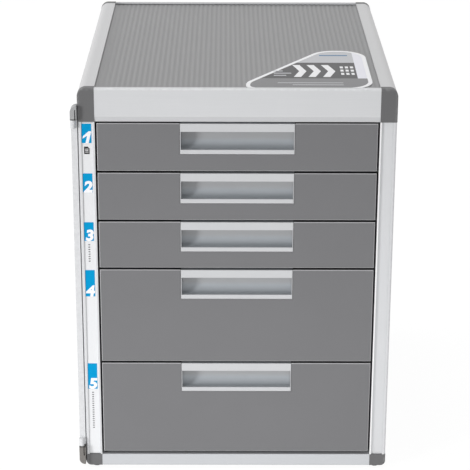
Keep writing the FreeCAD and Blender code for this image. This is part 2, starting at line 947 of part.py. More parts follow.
def drawer_pull(label, top):
    """A moulded pull: a strip to hook the fingers behind, a scooped recess and a lower lip."""
    body = new_body(label)
    half = s.pull_width / 2
    high = top - s.pull_drop
    low = high - s.pull_height
    back = front_face + s.pull_depth
    block = padded(body, "XZ", [rectangle(-half, half, low, high)], front_face, back)
    block = rounded(body, block, s.pull_edge_radius, [
        {"z": low, "y": front_face},
        {"z": high, "y": front_face},
        {"x": -half, "y": front_face},
        {"x": half, "y": front_face},
    ])
    strip_low = high - s.strip_height
    recess_low = low + s.lip_height
    inner_back = back - s.pull_wall
    behind_strip = front_face + s.strip_depth
    roof = high - s.pull_wall
    section = [
        (front_face - s.overrun, recess_low),
        (inner_back, recess_low),
        (inner_back, roof),
        (behind_strip, roof),
        (behind_strip, strip_low),
        (front_face - s.overrun, strip_low),
    ]
    inside = half - s.pull_side_wall
    scooped = pocketed(body, "YZ", [section], -inside, inside)
    rounded(body, scooped, s.cove_radius, [{"y": inner_back, "z": recess_low}])
    return body


def drawer_tray(label, top, height):
    """An open tray with a rim that runs in the guides and two lugs that meet the guides' tongues."""
    body = new_body(label)
    low = top - height + s.tray_rise
    high = top - s.tray_drop
    half = tray_half
    rim_low = high - s.rim_thickness
    padded(body, "XY", [rectangle(-half, half, front_back, tray_rear)], low, high)
    padded(body, "XY", [rectangle(-rim_half, rim_half, front_back, tray_rear)], rim_low, high)
    lug_front = guide_front + s.stop_length + s.drawer_travel + s.run_clearance
    lugs = []
    for side in (-1, 1):
        lugs.append(rectangle(*span(side, half - s.tray_wall, half), lug_front, lug_front + s.stop_length))
    padded(body, "XY", lugs, high, high + s.lug_height)
    wall = s.tray_wall
    inside = rectangle(-half + wall, half - wall, front_back + wall, tray_rear - wall)
    pocketed(body, "XY", [inside], low + s.tray_floor, high + s.overrun)
    middle = top - height / 2
    holes = [(side * s.boss_offset, middle, screw_hole) for side in (-1, 1)]
    pocketed(body, "XZ", holes, front_back - s.overrun, front_back + wall + s.overrun)
    return body


for number, (front_top, front_height) in enumerate(zip(front_tops, front_heights), 1):
    drawer_front("drawer_front_%d" % number, front_top, front_height)
    drawer_pull("drawer_pull_%d" % number, front_top)
    drawer_tray("drawer_tray_%d" % number, front_top, front_height)
    fixings = []
    for side_sign in (-1, 1):
        place = (side_sign * s.boss_offset, front_top - front_height / 2)
        seat = front_back + s.tray_wall
        fixings.append(screw("drawer_screw", "Y", seat, s.screw_bite, -1, *place))
    grouped("drawer_screws_%d" % number, fixings)

# Locking bar

bar_outer = hinge_x - s.bar_outer_cover
bar_inner = bar_outer + s.bar_thickness
bar_front = hinge_y + s.bar_set_back
bar_rear = bar_front + s.bar_width

lock_bar = new_body("lock_bar")
padded(
    lock_bar,
    "XY",
    [
        rectangle(bar_outer, bar_inner, bar_front, bar_rear),
        rectangle(
            bar_outer + s.bar_wall,
            bar_inner - s.bar_wall,
            bar_front + s.bar_wall,
            bar_rear - s.bar_wall,
        ),
    ],
    bar_bottom + s.bar_cap_height,
    bar_top - s.bar_cap_height,
)


def bar_cap(label, top):
    """A plug in the bar's end, with an arm forward to a round knuckle about the hinge axis."""
    body = new_body(label)
    if top:
        low, high = bar_top - s.bar_cap_height, bar_top
        plug_low, plug_high = low - s.bar_spigot_length, low
        bore_low, bore_high = high - s.pin_reach - s.pin_end_gap, high + s.overrun
    else:
        low, high = bar_bottom, bar_bottom + s.bar_cap_height
        plug_low, plug_high = high, high + s.bar_spigot_length
        bore_low, bore_high = low - s.overrun, low + s.pin_reach + s.pin_end_gap
    padded(body, "XY", [rectangle(bar_outer, bar_inner, bar_front, bar_rear)], low, high)
    arm = rectangle(bar_outer, hinge_x + s.knuckle_radius, hinge_y, bar_front + s.bar_wall)
    padded(body, "XY", [arm], low, high)
    padded(body, "XY", [(hinge_x, hinge_y, s.knuckle_radius)], low, high)
    play = s.bar_wall + s.panel_slack / 2
    plug = rectangle(bar_outer + play, bar_inner - play, bar_front + play, bar_rear - play)
    padded(body, "XY", [plug], plug_low, plug_high)
    pocketed(body, "XY", [(hinge_x, hinge_y, s.pin_radius + s.pin_play)], bore_low, bore_high)
    return body


bar_cap("lock_bar_cap_top", True)
bar_cap("lock_bar_cap_bottom", False)

bracket_outer = hinge_x - s.knuckle_radius
bracket_front = hinge_y - s.knuckle_radius
bracket_rear = bracket_front + s.bracket_length
pad_front = bracket_front + s.bracket_pad_start
bracket_screw_y = [bracket_rear - s.screw_head_radius - s.run_clearance * 2]
bracket_screw_y.append(bracket_screw_y[0] - s.bracket_screw_pitch)


def bracket_levels(top):
    if top:
        return bar_top + s.bracket_gap, cabinet_top - s.bracket_top_drop
    return rail_bottom + s.bracket_bottom_rise, bar_bottom - s.bracket_gap


def bracket_pad_levels(top):
    """The pad lies at the bar's end of its bracket."""
    low, high = bracket_levels(top)
    return (low, low + s.bracket_pad_height) if top else (high - s.bracket_pad_height, high)


def bracket_screw_height(top):
    pad_low, pad_high = bracket_pad_levels(top)
    return (pad_low + pad_high) / 2


def lock_bracket(label, top):
    """A domed knuckle that holds one hinge pin clear of the corner, and the pad screwed to the side."""
    body = new_body(label)
    low, high = bracket_levels(top)
    crown = high if top else low
    knuckle_rear = bracket_front + s.bracket_knuckle_length
    outline = rectangle(bracket_outer, bar_inner, bracket_front, knuckle_rear)
    knuckle = padded(body, "XY", [outline], low, high)
    knuckle = rounded(body, knuckle, s.bracket_dome_radius, [{"x": bracket_outer, "z": crown}])
    rounded(body, knuckle, s.bracket_back_radius, [{"y": knuckle_rear, "z": crown}])
    pad = rectangle(bracket_outer, -rail_face_x, pad_front, bracket_rear)
    padded(body, "XY", [pad], *bracket_pad_levels(top))
    if top:
        bore = (low - s.overrun, low + s.pin_grip)
        slot = (low - s.overrun, low + s.bracket_slot_height)
    else:
        bore = (high - s.pin_grip, high + s.overrun)
        slot = (high - s.bracket_slot_height, high + s.overrun)
    pocketed(body, "XY", [(hinge_x, hinge_y, s.pin_radius + s.pin_play / 2)], *bore)
    slot_high = bar_inner - s.bracket_slot_inset
    slot_shape = rectangle(
        slot_high - s.bracket_slot_width,
        slot_high,
        bracket_front - s.overrun,
        bracket_front + s.bracket_slot_depth,
    )
    pocketed(body, "XY", [slot_shape], *slot)
    height = bracket_screw_height(top)
    seat = bracket_outer + s.bracket_head_depth
    wide = [(y, height, s.screw_head_radius + s.screw_play) for y in bracket_screw_y]
    narrow = [(y, height, screw_hole) for y in bracket_screw_y]
    pocketed(body, "YZ", wide, bracket_outer - s.overrun, seat)
    pocketed(body, "YZ", narrow, seat - s.overrun, -rail_face_x + s.overrun)
    return body


lock_bracket("lock_bracket_top", True)
lock_bracket("lock_bracket_bottom", False)

# Holes of the bracket screws in the top rail and in the post
for piece, is_top in ((top_left_rail, True), (left_post, False)):
    places = [(y, bracket_screw_height(is_top), screw_hole) for y in bracket_screw_y]
    pocketed(piece, "YZ", places, -rail_face_x - s.overrun, -rail_face_x + s.frame_wall + s.overrun)

bracket_screws = []
for is_top in (True, False):
    for y in bracket_screw_y:
        seat = bracket_outer + s.bracket_head_depth
        height = bracket_screw_height(is_top)
        bracket_screws.append(screw("bracket_screw", "X", seat, s.bracket_screw_bite, 1, y, height))
grouped("bracket_screws", bracket_screws)

top_pin = (bar_top - s.pin_reach, bar_top + s.bracket_gap + s.pin_grip - s.pin_end_gap)
bottom_pin = (bar_bottom - s.bracket_gap - s.pin_grip + s.pin_end_gap, bar_bottom + s.pin_reach)
pins = []
for low, high in (top_pin, bottom_pin):
    pins.append(cylinder("hinge_pin", s.pin_radius, low, high, "Z", hinge_x, hinge_y))
grouped("hinge_pins", pins)

# Checks and export

doc.recompute()
for item in doc.Objects:
    if "Invalid" in item.State or "Error" in item.State:
        raise RuntimeError("%s did not build" % item.Label)
for item in doc.Objects:
    if item.TypeId == "PartDesign::Pocket" and item.Shape.Volume >= item.BaseFeature.Shape.Volume:
        raise RuntimeError("%s cuts nothing" % item.Label)

os.makedirs("parts", exist_ok=True)
for piece in PIECES:
    shape = piece.Shape
    if shape.isNull() or not shape.isValid():
        raise RuntimeError("%s has no valid shape" % piece.Label)
    shape.exportStep("parts/%s.step" % piece.Label)
    print("%-24s %2d solids %12.1f mm3" % (piece.Label, len(shape.Solids), shape.Volume))
print(len(PIECES), "nodes, cabinet height", cabinet_top.number)
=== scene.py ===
# %% [markdown]
# # A desktop drawer cabinet
#
# The cabinet is an aluminium frame with grey corner mouldings, a ribbed top, five drawers
# with recessed pulls, a numbered index strip and a thin locking bar on its left side.
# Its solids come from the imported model, so this lesson adds what makes them look real:
# finishes worked out from noise, numbered tabs, a printed label, proper screws, light and
# a camera.

import math

import bmesh
import bpy
from mathutils import Matrix, Vector


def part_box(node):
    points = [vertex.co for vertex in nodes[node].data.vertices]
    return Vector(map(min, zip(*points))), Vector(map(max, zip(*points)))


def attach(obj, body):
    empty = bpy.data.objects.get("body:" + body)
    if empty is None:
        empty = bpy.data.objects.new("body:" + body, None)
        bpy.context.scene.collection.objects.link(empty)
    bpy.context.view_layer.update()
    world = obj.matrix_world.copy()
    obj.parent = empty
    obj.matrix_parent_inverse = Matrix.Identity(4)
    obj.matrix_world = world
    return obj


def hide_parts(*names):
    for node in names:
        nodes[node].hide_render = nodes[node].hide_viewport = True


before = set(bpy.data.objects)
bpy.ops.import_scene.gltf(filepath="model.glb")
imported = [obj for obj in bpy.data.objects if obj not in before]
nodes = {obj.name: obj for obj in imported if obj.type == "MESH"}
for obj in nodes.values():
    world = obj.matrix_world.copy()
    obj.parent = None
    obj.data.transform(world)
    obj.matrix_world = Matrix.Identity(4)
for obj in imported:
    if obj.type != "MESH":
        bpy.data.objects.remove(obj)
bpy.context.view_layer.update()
MM = 0.001
DRAWERS = [str(number) for number in range(1, 6)]

# %% [markdown]
# ## Sums on shader sockets
#
# A finish is easier to read as a sum than as a web of nodes. The nodes could be added one by
# one, but a small class that wraps a socket lets an expression such as 1 - mask add its Math
# nodes by itself. A second class holds a node tree and makes every other node through one
# method.


# %% A socket that takes part in sums
class Field:
    """A number that varies over a surface."""

    def __init__(self, network, socket):
        self.network = network
        self.socket = socket

    def worked(self, operation, *values, clamp=False):
        settings = {"operation": operation, "use_clamp": clamp}
        return self.network.node("Math", settings, dict(enumerate(values)))

    def __add__(self, other):
        return self.worked("ADD", self, other)

    __radd__ = __add__

    def __sub__(self, other):
        return self.worked("SUBTRACT", self, other)

    def __rsub__(self, other):
        return self.worked("SUBTRACT", other, self)

    def __mul__(self, other):
        return self.worked("MULTIPLY", self, other)

    __rmul__ = __mul__

    def __abs__(self):
        return self.worked("ABSOLUTE", self)

    def above(self, edge, soft):
        """1 above the edge and 0 below it, with a soft step between."""
        return self.worked("MULTIPLY_ADD", self, 1 / soft, 0.5 - edge / soft, clamp=True)


# %% A tree of nodes
class Network:
    """A node tree, to which nodes are added one call at a time."""

    def __init__(self, tree):
        self.tree = tree

    def node(self, kind, settings, inputs, output=0):
        """Add one node: its settings first, then the values or links of its sockets."""
        made = self.tree.nodes.new("ShaderNode" + kind)
        for key, value in settings.items():
            setattr(made, key, value)
        for place, value in inputs.items():
            self.join(made.inputs[place], value)
        return Field(self, made.outputs[output])

    def join(self, socket, value):
        if isinstance(value, Field):
            self.tree.links.new(value.socket, socket)
        else:
            socket.default_value = value

    def seen_directly(self):
        """1 for rays that come from the camera, from a reflection or through glass."""
        camera = self.node("LightPath", {}, {}, "Is Camera Ray")
        reflected = self.node("LightPath", {}, {}, "Is Glossy Ray")
        through = self.node("LightPath", {}, {}, "Is Transmission Ray")
        return camera.worked("ADD", camera + reflected, through, clamp=True)


# %% [markdown]
# ## Colours
#
# Colours are written as a screen shows them, from 0 to 255, because that is how an eye
# compares them. A shader wants the amount of light instead, so one function turns the first
# into the second. No real surface has a single tone, so another function gives a darker and
# a lighter version, between which noise can choose.


# %% Screen colours
def shade(red, green, blue):
    """A screen colour, from 0 to 255, as the light that it stands for."""
    linear = []
    for level in (red / 255, green / 255, blue / 255):
        linear.append(level / 12.92 if level <= 0.04045 else ((level + 0.055) / 1.055) ** 2.4)
    return (*linear, 1.0)


def spread(colour, variation):
    """A screen colour made a little darker and a little lighter."""
    light = shade(*colour)[:3]
    low = tuple(level * (1 - variation) for level in light)
    high = tuple(min(1.0, level * (1 + variation)) for level in light)
    return (*low, 1.0), (*high, 1.0)


# %% [markdown]
# ## Materials
#
# Each finish is a material of its own, worked out from the object's coordinates. An image
# wrapped round the parts would need seams and would repeat, while noise runs on through every
# corner. A finish starts with a coat, and covers are then laid over it where masks say so,
# much as wear and dirt come after the paint.


# %% A material
class Finish(Network):
    """A material, with the object's own x, y and z in metres at hand."""

    def __init__(self, name, **constants):
        self.material = bpy.data.materials.new(name)
        self.material.use_nodes = True
        super().__init__(self.material.node_tree)
        self.shader = self.tree.nodes["Principled BSDF"]
        self.place = self.node("TexCoord", {}, {}, "Object")
        self.x, self.y, self.z = (self.node("SeparateXYZ", {}, {0: self.place}, axis) for axis in "XYZ")
        for socket, value in constants.items():
            self.set(socket.replace("_", " "), value)

    def set(self, socket, value):
        self.join(self.shader.inputs[socket], value)

    def noise(self, size, detail=2.0, stretch=(1, 1, 1)):
        """Noise about 0.5, with features of a size in metres, stretched along the axes."""
        scale = tuple(1 / (size * share) for share in stretch)
        spot = self.node("VectorMath", {"operation": "MULTIPLY"}, {0: self.place, 1: scale})
        return self.node("TexNoise", {}, {"Vector": spot, "Scale": 1.0, "Detail": detail})

    def facing(self, axis):
        """How far the surface faces along an axis, from -1 to 1."""
        normal = self.node("TexCoord", {}, {}, "Normal")
        return self.node("SeparateXYZ", {}, {0: normal}, axis)

    def between(self, mask, low, high):
        """The colour low where the mask is 0, and high where it is 1."""
        return self.node("Mix", {"data_type": "RGBA"}, {0: mask, 6: low, 7: high}, 2)

    def raised(self, height, depth):
        """Bump the surface by a height field whose full range is a depth in metres."""
        self.set("Normal", self.node("Bump", {}, {"Strength": 1.0, "Distance": depth, "Height": height}))

    def mix_noises(self, grain, broad, share):
        """Keep a fine noise as the grain, and a mottle that takes a share of a broad noise."""
        self.grain = self.noise(grain, detail=3.0)
        self.mottle = self.noise(broad) * share + self.grain * (1 - share)

    def mottled(self, colour, variation):
        """A screen colour that the finish's own mottle darkens and lightens."""
        return self.between(self.mottle, *spread(colour, variation))

    def coat(self, colour, roughness):
        """Give the surface the colour and the roughness that covers start from."""
        self.colour = colour
        self.roughness = roughness
        self.set("Base Color", colour)
        self.set("Roughness", roughness)

    def cover(self, mask, colour, rougher=None):
        """Lay a colour over the coat where the mask is 1, and add to its roughness."""
        roughness = self.roughness if rougher is None else self.roughness + rougher
        self.coat(self.between(mask, self.colour, colour), roughness)


def dressed(names, finish):
    """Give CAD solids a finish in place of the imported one."""
    for name in names:
        slots = nodes[name].data.materials
        slots.clear()
        slots.append(finish.material)
    print(finish.material.name, "on", len(names), "nodes")


# %% [markdown]
# ## Wear and painted highlight
#
# Hands, sleeves and desk tops rub a cabinet where two of its outer faces meet. The edges
# could be found from the mesh's own curvature, but every small edge would then look rubbed.
# This mask asks instead which of the cabinet's outer planes a spot is close to and keeps the
# spots near two of them. Noise breaks that line up, since no edge wears evenly. The lighter
# colour laid there is partly wear and partly a painted highlight.

# %% Rubbed edges, partly a painted highlight
WEAR_REACH = 2.0 * MM
WEAR_BLEND = 1.5 * MM
WEAR_PATCH = 4.0 * MM
frame_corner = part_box("cap_top_rear_right")[1]


def rubbed(finish):
    """1 where the cabinet's outer edges are worn and get a painted highlight, and 0 elsewhere."""
    side = abs(finish.x).above(frame_corner.x - WEAR_REACH, WEAR_BLEND)
    end = abs(finish.y).above(frame_corner.y - WEAR_REACH, WEAR_BLEND)
    top = finish.z.above(frame_corner.z - WEAR_REACH, WEAR_BLEND)
    patches = finish.noise(WEAR_PATCH, detail=3.0).above(edge=0.5, soft=0.25)
    return (side * end + end * top + side * top) * patches


print("edges wear near", [round(value / MM, 1) for value in frame_corner], "mm")

# %% [markdown]
# ## Anodised extrusions
#
# The posts and rails are aluminium extrusions, etched and anodised. Such metal is satin: it
# spreads what it reflects, and die lines run along each length. Noise stretched along the
# length gives those lines, and a second, broad noise gives the slight cloudiness of the bath.
# A fully metallic shader would go dark wherever the white room isn't reflected, so a mostly
# diffuse one stands for the etched skin. Faces that look down get a little painted shade. The
# side and lower rails are darker copies of the same metal, which is painted shade, and the
# right post has a painted highlight along its front inner edge.

# %% Anodised finish
DIE_LINE = 0.6 * MM
DIE_LINE_DEPTH = 0.02 * MM
CLOUD = 30 * MM
STRETCHED = {"x": (80, 1, 1), "y": (1, 80, 1), "z": (1, 1, 80)}
RUBBED_METAL_HIGHLIGHT = shade(228, 229, 231)
PAINTED_HIGHLIGHT = shade(252, 252, 252)


def anodised(name, length, colour, highlight_mask=None):
    """Metal with die lines along a length, and a painted highlight where a mask function is given."""
    finish = Finish(name, Metallic=0.25, Specular_IOR_Level=0.4)
    lines = finish.noise(DIE_LINE, stretch=STRETCHED[length])
    cloud = finish.noise(CLOUD)
    skin = finish.between(lines * 0.6 + cloud * 0.4, *spread(colour, 0.05))
    finish.coat(skin, 0.38 + lines * 0.1 + cloud * 0.06)
    # Faces that look down get painted shade: a darker copy of the metal's colour.
    painted_underside_shade = (0 - finish.facing("Z")).above(edge=0.08, soft=0.05)
    finish.cover(painted_underside_shade, spread(colour, 0.1)[0])
    if highlight_mask is not None:
        # A painted highlight where the mask is 1.
        finish.cover(highlight_mask(finish), PAINTED_HIGHLIGHT)
    # Lighter worn edges: partly wear, partly a painted highlight.
    worn_and_highlit = rubbed(finish)
    finish.cover(worn_and_highlit * 0.5, RUBBED_METAL_HIGHLIGHT, worn_and_highlit * -0.1)
    finish.raised(lines, DIE_LINE_DEPTH)
    return finish


# %% Posts, rails and bar
POST_COLOUR = (217, 218, 220)
side_rails = ["top_rail_left", "top_rail_right", "bottom_rail_left", "bottom_rail_right"]
uprights = ["front_post_left", "rear_post_left", "rear_post_right", "lock_bar"]
# The side rails and the lower rails are darker copies of the same metal: painted shade.
sections = {
    "anodised_along_x": ("x", (215, 216, 218), ["top_rail_front", "top_rail_rear"]),
    "anodised_along_x_low_shaded": ("x", (203, 205, 208), ["bottom_rail_front", "bottom_rail_rear"]),
    "anodised_along_y_shaded": ("y", (208, 208, 209), side_rails),
    "anodised_along_z": ("z", POST_COLOUR, uprights),
}
for name, (length, colour, members) in sections.items():
    dressed(members, anodised(name, length, colour))

# %% Right post, with a painted highlight along its front inner edge
EDGE_WIDTH = 1.1 * MM
EDGE_WIDTH_BLEND = 0.3 * MM
EDGE_DEPTH = 1.0 * MM
EDGE_DEPTH_BLEND = 0.5 * MM
post_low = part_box("front_post_right")[0]


def inner_edge(finish):
    """1 along the post's front inner edge, where a highlight is painted."""
    side = 1 - finish.x.above(post_low.x + EDGE_WIDTH, EDGE_WIDTH_BLEND)
    return side * (1 - finish.y.above(post_low.y + EDGE_DEPTH, EDGE_DEPTH_BLEND))


dressed(["front_post_right"], anodised("anodised_right_post", "z", POST_COLOUR, inner_edge))

# %% [markdown]
# ## Moulded plastics
#
# The caps, brackets, trays and guides come out of moulds whose steel was spark-eroded to a
# fine grain, which hides sink marks and scratches. The grain could be modelled, but it would
# take millions of faces, and a bump worked out from fine noise looks the same. A broad noise
# adds the slight mottling of the plastic. Each moulding has its own colour and sheen.

# %% Moulded finish
GRAIN = 0.6 * MM
GRAIN_DEPTH = 0.02 * MM
BROAD = 50 * MM


def moulded(name, colour, roughness, grain=GRAIN, depth=GRAIN_DEPTH, variation=0.04, broad=BROAD, share=0.7):
    """A moulding with a mean roughness: share is the broad noise's part in its mottling."""
    finish = Finish(name, Specular_IOR_Level=0.35)
    finish.mix_noises(grain, broad, share)
    finish.coat(finish.mottled(colour, variation), roughness - 0.05 + finish.grain * 0.1)
    finish.raised(finish.grain, depth)
    return finish


# %% Caps, scuffed lighter along their edges, partly wear and partly a painted highlight
SCUFFED_HIGHLIGHT = shade(140, 140, 141)
caps = [name for name in nodes if name.startswith("cap_")]
corner_moulding = moulded("corner_moulding", (106, 106, 107), 0.5)
scuffs_and_highlight = rubbed(corner_moulding)
corner_moulding.cover(scuffs_and_highlight * 0.6, SCUFFED_HIGHLIGHT, scuffs_and_highlight * 0.1)
dressed(caps, corner_moulding)
dressed(["lock_bar_cap_top", "lock_bar_cap_bottom"], moulded("bar_cap_silver", (216, 217, 219), 0.45))

# %% Brackets, with painted shade where they meet the bar
JOINT_SHADE = shade(62, 61, 60)
JOINT_SHADE_REACH = 1.0 * MM
JOINT_SHADE_BLEND = 0.8 * MM
BRACKET_GRAIN = 0.8 * MM
BRACKET_GRAIN_DEPTH = 0.03 * MM
BRACKET_MOTTLE = 4.0 * MM


def bracket_moulding(name, colour, joint_level, variation):
    finish = moulded(name, colour, 0.5, BRACKET_GRAIN, BRACKET_GRAIN_DEPTH, variation, BRACKET_MOTTLE, 0.4)
    # Painted shade along the joint with the bar.
    joint_shade = 1 - abs(finish.z - joint_level).above(JOINT_SHADE_REACH, JOINT_SHADE_BLEND)
    finish.cover(joint_shade * 0.85, JOINT_SHADE, joint_shade * 0.1)
    return finish


upper_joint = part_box("lock_bracket_top")[0].z
lower_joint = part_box("lock_bracket_bottom")[1].z
dressed(["lock_bracket_top"], bracket_moulding("lock_moulding", (168, 169, 170), upper_joint, 0.08))
# The lower bracket is a darker copy of the same moulding: painted shade.
dressed(["lock_bracket_bottom"], bracket_moulding("lock_moulding_shaded", (122, 119, 116), lower_joint, 0.2))

# %% Trays, guides and feet
RUBBER_GRAIN = 1.2 * MM
RUBBER_DEPTH = 0.05 * MM
dressed(["drawer_tray_" + number for number in DRAWERS], moulded("tray_grey", (120, 122, 124), 0.5))
dressed(["drawer_guide_left", "drawer_guide_right"], moulded("guide_black", (36, 36, 38), 0.5))
dressed(["feet"], moulded("foot_rubber", (34, 34, 35), 0.8, RUBBER_GRAIN, RUBBER_DEPTH))

# %% [markdown]
# ## Drawer fronts
#
# Each front has a satin grey face. The grey wraps round the edge for a millimetre or two, and
# beyond that the edge is painted dark as painted shade, so the slits between the drawers look
# dark. The grey could be a thin shell of its own, but a mask on the depth gives the same edge
# without a second surface. A thin line along the rim is lighter than the face: a painted highlight.

# %% Front finish
GAP_SHADE_START = 1.3 * MM
GAP_SHADE_BLEND = 0.5 * MM
RIM_WIDTH = 0.7 * MM
PAINTED_RIM_HIGHLIGHT = shade(196, 196, 198)
front_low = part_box("drawer_front_1")[0].y


def coated_front():
    finish = moulded("drawer_front_grey", (119, 119, 121), 0.42)
    # A painted highlight along the rim of the face.
    turned = 1 - abs(finish.facing("Y"))
    beside_face = 1 - finish.y.above(front_low + RIM_WIDTH, RIM_WIDTH)
    rim = turned.above(edge=0.05, soft=0.06) * beside_face * (0.6 + finish.grain * 0.6)
    finish.cover(rim, PAINTED_RIM_HIGHLIGHT)
    # Painted shade: behind the face's edge the colour turns dark, so the gaps look dark.
    painted_gap_shade = finish.between(finish.grain, *spread((46, 46, 48), 0.1))
    finish.cover(finish.y.above(front_low + GAP_SHADE_START, GAP_SHADE_BLEND), painted_gap_shade)
    return finish


dressed(["drawer_front_" + number for number in DRAWERS], coated_front())

# %% [markdown]
# ## Coated panels
#
# The ribbed panels are grey-coated sheets. Their ribs could be a bump, but they show in the
# outline, so they are real grooves in the solids. The finish only adds the fine orange peel
# of the coating, which is coarser than a mould's grain.

# %% Panels
PEEL = 0.9 * MM
PEEL_DEPTH = 0.03 * MM
plain_panels = ["side_panel_left", "side_panel_right", "back_panel", "bottom_panel"]
dressed(plain_panels, moulded("panel_coating", (154, 154, 155), 0.5, PEEL, PEEL_DEPTH))
dressed(["top_panel"], moulded("top_coating", (147, 147, 148), 0.5, PEEL, PEEL_DEPTH))

# %% [markdown]
# ## Pulls
#
# Each pull is one satin silver moulding. Its strip and lower lip are polished by the mould,
# while the scoop behind them keeps a duller skin. Its darker colour there is painted shade: two
# materials would need a seam, so one finish turns darker with depth instead. The lower half of
# the scoop faces up and gets a slightly blue painted reflection of the sky.

# %% Pull finish
SCOOP_DEPTH = 1.2 * MM
SCOOP_BLEND = 0.6 * MM
PULL_GRAIN = 0.5 * MM
PULL_GRAIN_DEPTH = 0.015 * MM
PULL_CLOUD = 20 * MM
PULL_VARIATION = 0.05
front_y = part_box("drawer_pull_1")[0].y


def silvered():
    finish = moulded(
        "pull_silver", (205, 206, 208), 0.41, PULL_GRAIN, PULL_GRAIN_DEPTH, PULL_VARIATION, PULL_CLOUD, 0.5
    )
    # The scoop's darker colour is painted shade, and its upward faces get a bluish painted reflection of the
    # sky.
    scoop = finish.y.above(front_y + SCOOP_DEPTH, SCOOP_BLEND)
    painted_shade_wall = finish.mottled((168, 169, 171), PULL_VARIATION)
    painted_sky_hollow = finish.mottled((173, 178, 183), PULL_VARIATION)
    upward = finish.facing("Z").above(edge=0.25, soft=0.4)
    finish.cover(scoop, finish.between(upward, painted_shade_wall, painted_sky_hollow), scoop * 0.1)
    finish.set("Metallic", 0.25 - scoop * 0.2)
    finish.set("Specular IOR Level", 0.4)
    return finish


dressed(["drawer_pull_" + number for number in DRAWERS], silvered())

# %% [markdown]
# ## Films and plating
#
# The index strip and the label are smooth printed films, so they share a moulding's finish
# with a wider and flatter grain. Along the strip's left edge a grey line is painted as the
# shade of the channel's lip. Screws and pins are zinc-plated steel, whose crystals show as a
# fine mottling. Real metal this small can be fully metallic, since each screw shows only a
# few tones.

# %% Film finishes
FILM = {"roughness": 0.3, "grain": 2.0 * MM, "depth": 0.01 * MM, "variation": 0.015}
STRIP_LINE = 0.6 * MM
STRIP_LIP_SHADE = shade(140, 141, 143)
strip_low, strip_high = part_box("index_strip")


def film(name, colour):
    """A printed film, with less sheen than the plastic under it."""
    finish = moulded(name, colour, **FILM)
    finish.set("Specular IOR Level", 0.12)
    return finish


def strip_film():
    finish = moulded("strip_film", (231, 232, 234), share=0.0, **FILM)
    # A grey line of painted shade along the left edge, where the channel's lip shades the strip.
    edge = 1 - finish.x.above(strip_low.x + STRIP_LINE, STRIP_LINE)
    finish.cover(edge * 0.8, STRIP_LIP_SHADE)
    return finish


white_film = film("white_film", (250, 250, 252))
dressed(["top_label"], white_film)
dressed(["index_strip"], strip_film())


# %% Plating
def plated():
    finish = Finish("zinc_plate", Metallic=1.0)
    crystals = finish.noise(0.4 * MM, detail=3.0)
    dull = shade(170, 172, 175)
    clear = shade(200, 201, 203)
    finish.coat(finish.between(crystals, dull, clear), 0.3 + crystals * 0.15)
    return finish


zinc = plated()
dressed(["hinge_pins"], zinc)

# %% [markdown]
# ## Shared shapes
#
# The tabs, marks and prints are thin pieces with a flat outline. Scaled cubes could stand for
# most of them, but not for a rounded tab or a chevron. So an outline becomes a face, the face
# is extruded into a plate, and the rim of a thicker plate gets a fine bevel, as any cut film
# or moulding has.

# %% Outlines
WELD = 0.001 * MM


def rectangle(left, right, low, high):
    return [(left, low), (right, low), (right, high), (left, high)]


def rounded_outline(low, high, radius, steps=5):
    """A rectangle with round corners, anticlockwise."""
    centres = (
        (high[0] - radius, high[1] - radius),
        (low[0] + radius, high[1] - radius),
        (low[0] + radius, low[1] + radius),
        (high[0] - radius, low[1] + radius),
    )
    spots = []
    for quarter, (across, up) in enumerate(centres):
        for step in range(steps + 1):
            angle = math.pi / 2 * (quarter + step / steps)
            spots.append((across + radius * math.cos(angle), up + radius * math.sin(angle)))
    return spots


def corners(spots):
    """The low and the high corner of the box round some spots."""
    low = Vector([min(values) for values in zip(*spots)])
    high = Vector([max(values) for values in zip(*spots)])
    return low, high


# %% Plates
def plate(sheet, outline, thickness, place, colour=0, rim=0.0):
    """Add a plate: place turns (across, up, out) into a spot, colour counts its materials from 0."""
    edge = [sheet.verts.new(place @ Vector((across, up, 0))) for across, up in outline]
    back = sheet.faces.new(edge)
    back.material_index = colour
    grown = bmesh.ops.extrude_face_region(sheet, geom=[back])["geom"]
    raised = [item for item in grown if isinstance(item, bmesh.types.BMVert)]
    bmesh.ops.translate(sheet, verts=raised, vec=place.to_3x3() @ Vector((0, 0, thickness)))
    top = [item for item in grown if isinstance(item, bmesh.types.BMFace)][0]
    if rim:
        bmesh.ops.bevel(
            sheet, geom=list(top.edges), offset=rim, segments=2, profile=0.5, affect="EDGES", material=-1
        )


# %% Objects and pieces
def in_scene(name, sheet):
    """Turn a sheet into an object of the scene."""
    mesh = bpy.data.meshes.new(name)
    sheet.to_mesh(mesh)
    sheet.free()
    made = bpy.data.objects.new(name, mesh)
    bpy.context.scene.collection.objects.link(made)
    return made


def piece(name, sheet, finishes, body):
    """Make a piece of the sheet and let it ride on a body."""
    bmesh.ops.recalc_face_normals(sheet, faces=sheet.faces)
    gaps = sum(not edge.is_manifold for edge in sheet.edges)
    made = in_scene(name, sheet)
    for finish in finishes:
        made.data.materials.append(finish.material)
    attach(made, body)
    print(name, "has", len(made.data.polygons), "faces and", gaps, "open edges")
    return made


# %% [markdown]
# ## Index tabs
#
# Each drawer has a blue tab in the post's channel, level with the top of its front, with a
# white figure at its lower right corner. The figures could be painted by a texture, but cut
# film has an edge of its own, so they are text curves, sloped and thickened, turned into
# meshes and set on the tab. The font's 1 has a flag so short that it reads as a stroke, so
# that figure is drawn as an outline with a longer one.

